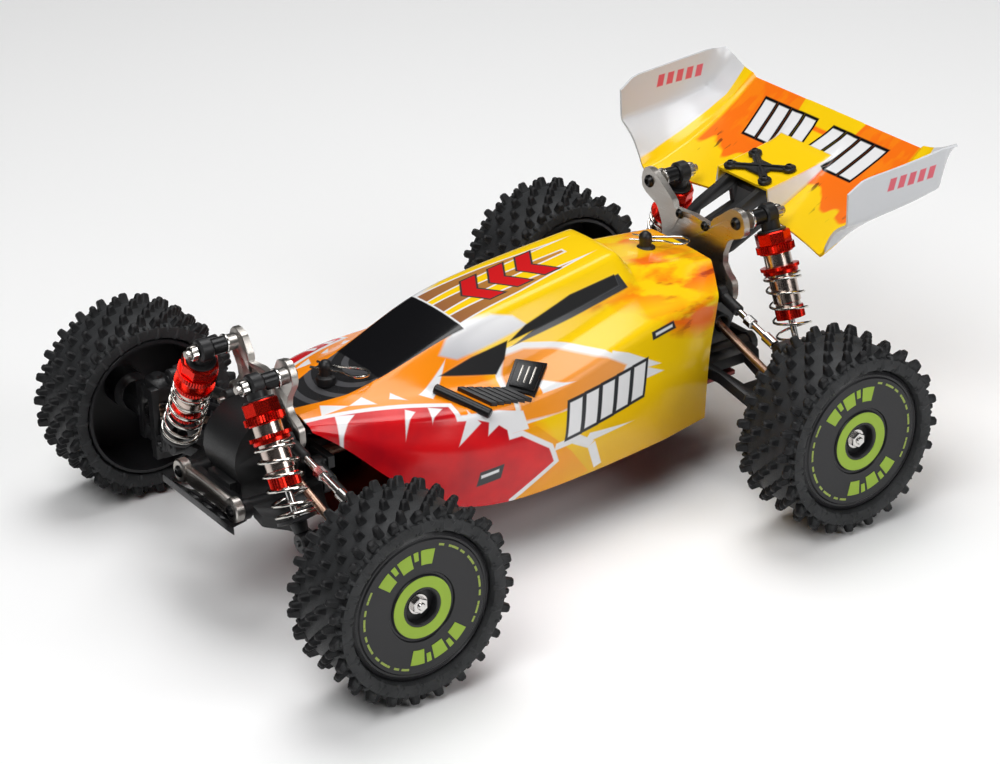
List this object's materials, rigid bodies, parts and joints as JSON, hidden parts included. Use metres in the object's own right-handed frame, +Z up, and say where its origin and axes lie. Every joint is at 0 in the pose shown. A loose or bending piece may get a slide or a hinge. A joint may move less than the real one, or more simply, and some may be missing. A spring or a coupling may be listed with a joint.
{
  "type": "radio-controlled off-road buggy",
  "caption": "Four-wheel-drive radio-controlled buggy with coil-over shocks, spiked tyres, a wedge-shaped painted body shell and a rear wing with flared end plates.",
  "frame": {"origin": "centre of the overall box, at the ground the tyres stand on", "axes": "+Z up, -Y forwards, +X towards the car's left side"},
  "size_m": [0.252, 0.347, 0.1437],
  "materials": {
    "tyre_rubber": "matt moulded rubber",
    "wheel_plastic": "satin black moulded nylon",
    "polished_steel": "bright machined steel",
    "spring_steel": "bright plated spring wire",
    "link_steel": "threaded steel with black rod ends",
    "red_anodised": "red anodised aluminium",
    "tower_alloy": "brushed clear anodised plate",
    "shaft_bronze": "bronze tinted hardened steel",
    "chassis_alloy": "dark red anodised plate",
    "motor_can": "plated motor can",
    "battery_wrap": "shrink wrap",
    "painted_shell": "clear shell painted from the inside",
    "wing_plastic": "painted wing with pale translucent end plates",
    "black_nylon": "glass filled nylon"
  },
  "bodies": {
    "chassis": {"chassis_plate": "chassis_alloy", "front_gearbox": "black_nylon", "rear_gearbox": "black_nylon", "front_shock_tower": "tower_alloy", "rear_shock_tower": "tower_alloy", "front_bumper": "black_nylon", "drive_motor": "motor_can", "battery_pack": "battery_wrap", "steering_servo": "black_nylon", "body_shell": "painted_shell", "rear_wing": "wing_plastic", "wing_mount": "black_nylon"},
    "front_clip": {"front_body_clip": "polished_steel"},
    "rear_clip": {"rear_body_clip": "polished_steel"},
    "centre_shaft": {"centre_drive_shaft": "shaft_bronze"},
    "steering_rack": {"steering_rack": "black_nylon"},
    "front_left_arm": {"front_left_lower_arm": "black_nylon"},
    "front_left_carrier": {"front_left_caster_block": "black_nylon"},
    "front_left_knuckle": {"front_left_steering_knuckle": "black_nylon"},
    "front_left_wheel": {"front_left_tyre": "tyre_rubber", "front_left_wheel": "wheel_plastic", "front_left_wheel_axle": "polished_steel"},
    "front_left_shock_body": {"front_left_shock_body": "red_anodised", "front_left_spring": "spring_steel"},
    "front_left_shock_rod": {"front_left_shock_rod": "polished_steel"},
    "front_left_link": {"front_left_upper_link": "link_steel"},
    "front_left_drive": {"front_left_drive_shaft": "shaft_bronze"},
    "front_left_tie": {"front_left_tie_rod": "black_nylon"},
    "front_right_arm": {"front_right_lower_arm": "black_nylon"},
    "front_right_carrier": {"front_right_caster_block": "black_nylon"},
    "front_right_knuckle": {"front_right_steering_knuckle": "black_nylon"},
    "front_right_wheel": {"front_right_tyre": "tyre_rubber", "front_right_wheel": "wheel_plastic", "front_right_wheel_axle": "polished_steel"},
    "front_right_shock_body": {"front_right_shock_body": "red_anodised", "front_right_spring": "spring_steel"},
    "front_right_shock_rod": {"front_right_shock_rod": "polished_steel"},
    "front_right_link": {"front_right_upper_link": "link_steel"},
    "front_right_drive": {"front_right_drive_shaft": "shaft_bronze"},
    "front_right_tie": {"front_right_tie_rod": "black_nylon"},
    "rear_left_arm": {"rear_left_lower_arm": "black_nylon"},
    "rear_left_carrier": {"rear_left_hub_carrier": "black_nylon"},
    "rear_left_wheel": {"rear_left_tyre": "tyre_rubber", "rear_left_wheel": "wheel_plastic", "rear_left_wheel_axle": "polished_steel"},
    "rear_left_shock_body": {"rear_left_shock_body": "red_anodised", "rear_left_spring": "spring_steel"},
    "rear_left_shock_rod": {"rear_left_shock_rod": "polished_steel"},
    "rear_left_link": {"rear_left_upper_link": "link_steel"},
    "rear_left_drive": {"rear_left_drive_shaft": "shaft_bronze"},
    "rear_right_arm": {"rear_right_lower_arm": "black_nylon"},
    "rear_right_carrier": {"rear_right_hub_carrier": "black_nylon"},
    "rear_right_wheel": {"rear_right_tyre": "tyre_rubber", "rear_right_wheel": "wheel_plastic", "rear_right_wheel_axle": "polished_steel"},
    "rear_right_shock_body": {"rear_right_shock_body": "red_anodised", "rear_right_spring": "spring_steel"},
    "rear_right_shock_rod": {"rear_right_shock_rod": "polished_steel"},
    "rear_right_link": {"rear_right_upper_link": "link_steel"},
    "rear_right_drive": {"rear_right_drive_shaft": "shaft_bronze"}
  },
  "joints": [
    {"name": "front_left_travel", "type": "hinge", "parent": "chassis", "child": "front_left_arm", "pos_m": [0.021, -0.131, 0.047], "axis": [0, -1, 0], "range_deg": [0, 22], "stiffness_Nm_per_rad": 0.9, "springref_deg": -34.38},
    {"name": "front_left_carrier_pivot", "type": "hinge", "parent": "front_left_arm", "child": "front_left_carrier", "pos_m": [0.07, -0.131, 0.036], "axis": [0, -1, 0], "range_deg": [-22.5, 0.5]},
    {"name": "front_left_steer", "type": "hinge", "parent": "front_left_carrier", "child": "front_left_knuckle", "pos_m": [0.086, -0.131, 0.0425], "axis": [0, 0, 1], "range_deg": [-25, 25]},
    {"name": "front_left_spin", "type": "hinge", "parent": "front_left_knuckle", "child": "front_left_wheel", "pos_m": [0.108, -0.131, 0.0425], "axis": [1, 0, 0], "continuous": true},
    {"name": "front_left_shock_swing", "type": "hinge", "parent": "chassis", "child": "front_left_shock_body", "pos_m": [0.0205, -0.141, 0.0995], "axis": [0, -1, 0], "range_deg": [-0.5, 6.44]},
    {"name": "front_left_shock_stroke", "type": "slide", "parent": "front_left_shock_body", "child": "front_left_shock_rod", "axis": [-0.4986, 0, 0.8668], "range_m": [-0.0004, 0.01099], "deforming": ["front_left_spring"]},
    {"name": "front_left_link_swing", "type": "hinge", "parent": "chassis", "child": "front_left_link", "pos_m": [0.024, -0.1295, 0.073], "axis": [0, -1, 0], "range_deg": [-0.5, 22.1]},
    {"name": "front_left_drive_swing", "type": "hinge", "parent": "chassis", "child": "front_left_drive", "pos_m": [0.022, -0.131, 0.062], "axis": [0, -1, 0], "range_deg": [-0.5, 17.42]},
    {"name": "front_left_tie_swing", "type": "hinge", "parent": "steering_rack", "child": "front_left_tie", "pos_m": [0.024, -0.117, 0.05832], "axis": [0, -1, 0], "range_deg": [-0.5, 17.92]},
    {"name": "front_right_travel", "type": "hinge", "parent": "chassis", "child": "front_right_arm", "pos_m": [-0.021, -0.131, 0.047], "axis": [0, 1, 0], "range_deg": [0, 22], "stiffness_Nm_per_rad": 0.9, "springref_deg": -34.38},
    {"name": "front_right_carrier_pivot", "type": "hinge", "parent": "front_right_arm", "child": "front_right_carrier", "pos_m": [-0.07, -0.131, 0.036], "axis": [0, 1, 0], "range_deg": [-22.5, 0.5]},
    {"name": "front_right_steer", "type": "hinge", "parent": "front_right_carrier", "child": "front_right_knuckle", "pos_m": [-0.086, -0.131, 0.0425], "axis": [0, 0, 1], "range_deg": [-25.5, 25.5]},
    {"name": "front_right_spin", "type": "hinge", "parent": "front_right_knuckle", "child": "front_right_wheel", "pos_m": [-0.108, -0.131, 0.0425], "axis": [1, 0, 0], "continuous": true},
    {"name": "front_right_shock_swing", "type": "hinge", "parent": "chassis", "child": "front_right_shock_body", "pos_m": [-0.0205, -0.141, 0.0995], "axis": [0, 1, 0], "range_deg": [-0.5, 6.44]},
    {"name": "front_right_shock_stroke", "type": "slide", "parent": "front_right_shock_body", "child": "front_right_shock_rod", "axis": [0.4986, 0, 0.8668], "range_m": [-0.0004, 0.01099], "deforming": ["front_right_spring"]},
    {"name": "front_right_link_swing", "type": "hinge", "parent": "chassis", "child": "front_right_link", "pos_m": [-0.024, -0.1295, 0.073], "axis": [0, 1, 0], "range_deg": [-0.5, 22.1]},
    {"name": "front_right_drive_swing", "type": "hinge", "parent": "chassis", "child": "front_right_drive", "pos_m": [-0.022, -0.131, 0.062], "axis": [0, 1, 0], "range_deg": [-0.5, 17.42]},
    {"name": "front_right_tie_swing", "type": "hinge", "parent": "steering_rack", "child": "front_right_tie", "pos_m": [-0.024, -0.117, 0.05832], "axis": [0, 1, 0], "range_deg": [-0.5, 17.92]},
    {"name": "rear_left_travel", "type": "hinge", "parent": "chassis", "child": "rear_left_arm", "pos_m": [0.021, 0.089, 0.047], "axis": [0, -1, 0], "range_deg": [0, 22], "stiffness_Nm_per_rad": 0.9, "springref_deg": -34.38},
    {"name": "rear_left_carrier_pivot", "type": "hinge", "parent": "rear_left_arm", "child": "rear_left_carrier", "pos_m": [0.066, 0.089, 0.036], "axis": [0, -1, 0], "range_deg": [-22.5, 0.5]},
    {"name": "rear_left_spin", "type": "hinge", "parent": "rear_left_carrier", "child": "rear_left_wheel", "pos_m": [0.104, 0.089, 0.0425], "axis": [1, 0, 0], "continuous": true},
    {"name": "rear_left_shock_swing", "type": "hinge", "parent": "chassis", "child": "rear_left_shock_body", "pos_m": [0.031, 0.11, 0.1105], "axis": [0, -1, 0], "range_deg": [-0.5, 4.64]},
    {"name": "rear_left_shock_stroke", "type": "slide", "parent": "rear_left_shock_body", "child": "rear_left_shock_rod", "axis": [-0.3594, 0, 0.9332], "range_m": [-0.0004, 0.01337], "deforming": ["rear_left_spring"]},
    {"name": "rear_left_link_swing", "type": "hinge", "parent": "chassis", "child": "rear_left_link", "pos_m": [0.024, 0.0895, 0.076], "axis": [0, -1, 0], "range_deg": [-0.5, 23.94]},
    {"name": "rear_left_drive_swing", "type": "hinge", "parent": "chassis", "child": "rear_left_drive", "pos_m": [0.022, 0.089, 0.062], "axis": [0, -1, 0], "range_deg": [-0.5, 17.06]},
    {"name": "rear_right_travel", "type": "hinge", "parent": "chassis", "child": "rear_right_arm", "pos_m": [-0.021, 0.089, 0.047], "axis": [0, 1, 0], "range_deg": [0, 22], "stiffness_Nm_per_rad": 0.9, "springref_deg": -34.38},
    {"name": "rear_right_carrier_pivot", "type": "hinge", "parent": "rear_right_arm", "child": "rear_right_carrier", "pos_m": [-0.066, 0.089, 0.036], "axis": [0, 1, 0], "range_deg": [-22.5, 0.5]},
    {"name": "rear_right_spin", "type": "hinge", "parent": "rear_right_carrier", "child": "rear_right_wheel", "pos_m": [-0.104, 0.089, 0.0425], "axis": [1, 0, 0], "continuous": true},
    {"name": "rear_right_shock_swing", "type": "hinge", "parent": "chassis", "child": "rear_right_shock_body", "pos_m": [-0.031, 0.11, 0.1105], "axis": [0, 1, 0], "range_deg": [-0.5, 4.64]},
    {"name": "rear_right_shock_stroke", "type": "slide", "parent": "rear_right_shock_body", "child": "rear_right_shock_rod", "axis": [0.3594, 0, 0.9332], "range_m": [-0.0004, 0.01337], "deforming": ["rear_right_spring"]},
    {"name": "rear_right_link_swing", "type": "hinge", "parent": "chassis", "child": "rear_right_link", "pos_m": [-0.024, 0.0895, 0.076], "axis": [0, 1, 0], "range_deg": [-0.5, 23.94]},
    {"name": "rear_right_drive_swing", "type": "hinge", "parent": "chassis", "child": "rear_right_drive", "pos_m": [-0.022, 0.089, 0.062], "axis": [0, 1, 0], "range_deg": [-0.5, 17.06]},
    {"name": "rack_slide", "type": "slide", "parent": "chassis", "child": "steering_rack", "axis": [1, 0, 0], "range_m": [-0.0062, 0.0062]},
    {"name": "centre_shaft_spin", "type": "hinge", "parent": "chassis", "child": "centre_shaft", "pos_m": [0, -0.021, 0.0485], "axis": [0, 1, 0], "continuous": true},
    {"name": "front_clip_pull", "type": "slide", "parent": "chassis", "child": "front_clip", "axis": [0.8387, 0.5446, 0], "range_m": [0, 0.014]},
    {"name": "rear_clip_pull", "type": "slide", "parent": "chassis", "child": "rear_clip", "axis": [0.7071, 0.7071, 0], "range_m": [0, 0.011]}
  ],
  "couplings": [
    {"joint": "front_left_carrier_pivot", "follows": "front_left_travel", "ratio": -1},
    {"joint": "front_left_shock_swing", "follows": "front_left_travel", "ratio": 0.26984},
    {"joint": "front_left_shock_stroke", "follows": "front_left_travel", "m_per_rad": 0.027571},
    {"joint": "front_left_link_swing", "follows": "front_left_travel", "ratio": 0.98182},
    {"joint": "front_left_drive_swing", "follows": "front_left_travel", "ratio": 0.76887},
    {"joint": "front_left_tie_swing", "follows": "front_left_travel", "ratio": 0.79178},
    {"joint": "front_right_carrier_pivot", "follows": "front_right_travel", "ratio": -1},
    {"joint": "front_right_steer", "follows": "front_left_steer", "ratio": 1},
    {"joint": "front_right_shock_swing", "follows": "front_right_travel", "ratio": 0.26984},
    {"joint": "front_right_shock_stroke", "follows": "front_right_travel", "m_per_rad": 0.027571},
    {"joint": "front_right_link_swing", "follows": "front_right_travel", "ratio": 0.98182},
    {"joint": "front_right_drive_swing", "follows": "front_right_travel", "ratio": 0.76887},
    {"joint": "front_right_tie_swing", "follows": "front_right_travel", "ratio": 0.79178},
    {"joint": "rear_left_carrier_pivot", "follows": "rear_left_travel", "ratio": -1},
    {"joint": "rear_left_shock_swing", "follows": "rear_left_travel", "ratio": 0.18813},
    {"joint": "rear_left_shock_stroke", "follows": "rear_left_travel", "m_per_rad": 0.033771},
    {"joint": "rear_left_link_swing", "follows": "rear_left_travel", "ratio": 1.0653},
    {"joint": "rear_left_drive_swing", "follows": "rear_left_travel", "ratio": 0.75277},
    {"joint": "rear_right_carrier_pivot", "follows": "rear_right_travel", "ratio": -1},
    {"joint": "rear_right_shock_swing", "follows": "rear_right_travel", "ratio": 0.18813},
    {"joint": "rear_right_shock_stroke", "follows": "rear_right_travel", "m_per_rad": 0.033771},
    {"joint": "rear_right_link_swing", "follows": "rear_right_travel", "ratio": 1.0653},
    {"joint": "rear_right_drive_swing", "follows": "rear_right_travel", "ratio": 0.75277},
    {"joint": "rack_slide", "follows": "front_left_steer", "m_per_rad": -0.013725}
  ]
}
